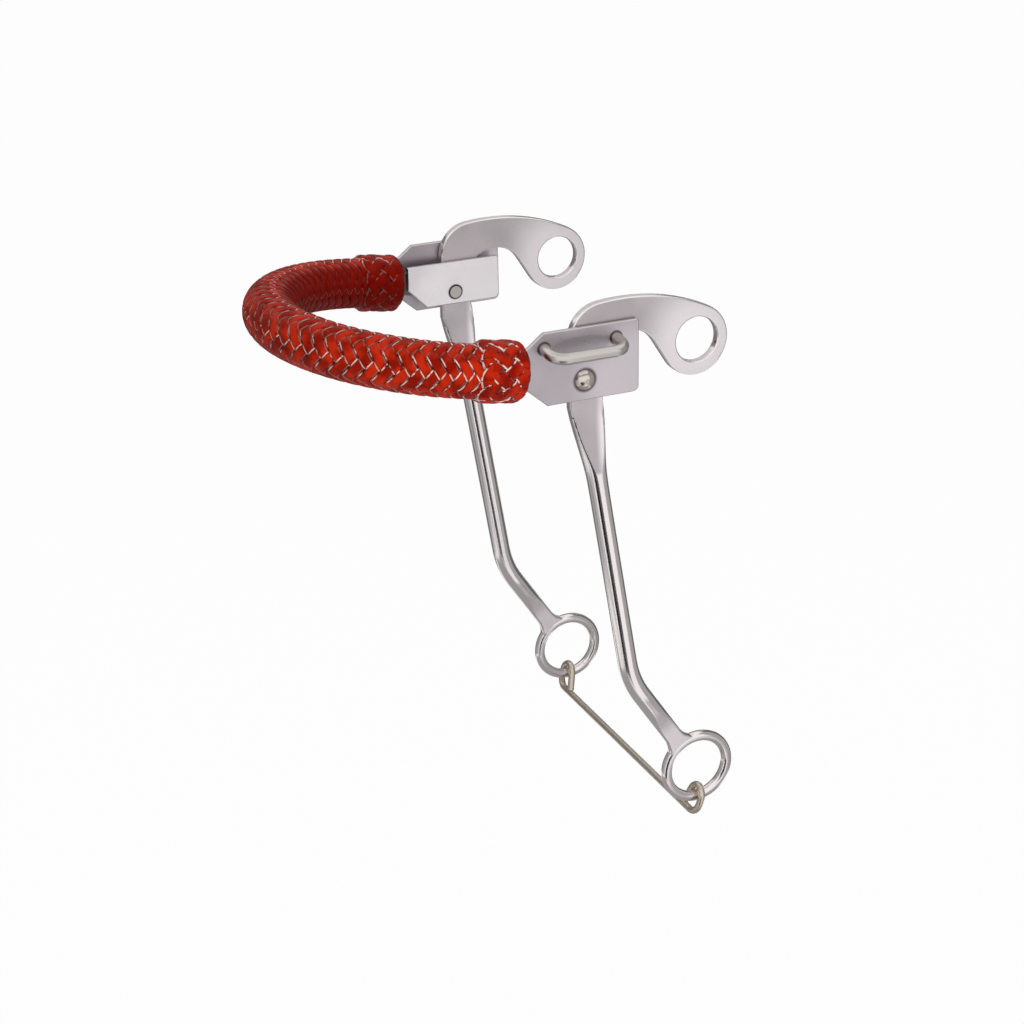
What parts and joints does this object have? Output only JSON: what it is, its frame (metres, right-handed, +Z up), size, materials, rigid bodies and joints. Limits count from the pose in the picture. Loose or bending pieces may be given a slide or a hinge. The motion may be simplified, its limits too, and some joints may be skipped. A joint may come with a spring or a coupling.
{
  "type": "mechanical hackamore",
  "caption": "Bitless bridle with a braided leather noseband, riveted cheek plates, swinging swan-neck shanks with rein rings and a wire spacer bar.",
  "frame": {"origin": "midway between the two pivots", "axes": "+Z up, -X forward over the nose, +X back towards the rider, +Y to the right"},
  "size_m": [0.1902, 0.169, 0.2489],
  "materials": {
    "braided_leather": "waxed brick-red braided strands with paler cut edges",
    "knot_leather": "woven brick-red button knot",
    "filler_cord": "plain cord filling",
    "cable_steel": "steel cable",
    "tang_steel": "plain steel",
    "rivet_steel": "polished domed rivet",
    "plate_steel": "satin stainless steel",
    "loop_steel": "polished wire",
    "shank_steel": "satin flats and polished rod",
    "spacer_wire": "dull drawn wire"
  },
  "bodies": {
    "noseband": {"noseband_braid": "braided_leather", "noseband_filler": "filler_cord", "noseband_cable": "cable_steel", "left_end_knot": "knot_leather", "right_end_knot": "knot_leather", "left_tang": "tang_steel", "right_tang": "tang_steel", "left_tang_rivet": "rivet_steel", "right_tang_rivet": "rivet_steel", "left_outer_plate": "plate_steel", "right_outer_plate": "plate_steel", "left_inner_plate": "plate_steel", "right_inner_plate": "plate_steel", "left_headstall_loop": "loop_steel", "right_headstall_loop": "loop_steel", "left_pivot_rivet": "rivet_steel", "right_pivot_rivet": "rivet_steel"},
    "left_shank": {"left_shank": "shank_steel"},
    "right_shank": {"right_shank": "shank_steel"},
    "spacer_bar": {"spacer_bar": "spacer_wire"}
  },
  "joints": [
    {"name": "left_shank_swing", "type": "hinge", "parent": "noseband", "child": "left_shank", "pos_m": [0, -0.067, 0], "axis": [0, -1, 0], "range_deg": [-45, 30]},
    {"name": "right_shank_swing", "type": "hinge", "parent": "noseband", "child": "right_shank", "pos_m": [0, 0.067, 0], "axis": [0, -1, 0], "range_deg": [-45, 30]},
    {"name": "spacer_bar_swing", "type": "hinge", "parent": "left_shank", "child": "spacer_bar", "pos_m": [0.05655, 0, -0.19346], "axis": [0, -1, 0], "range_deg": [-120, 120]}
  ],
  "couplings": [
    {"joint": "right_shank_swing", "follows": "left_shank_swing", "ratio": 1}
  ]
}
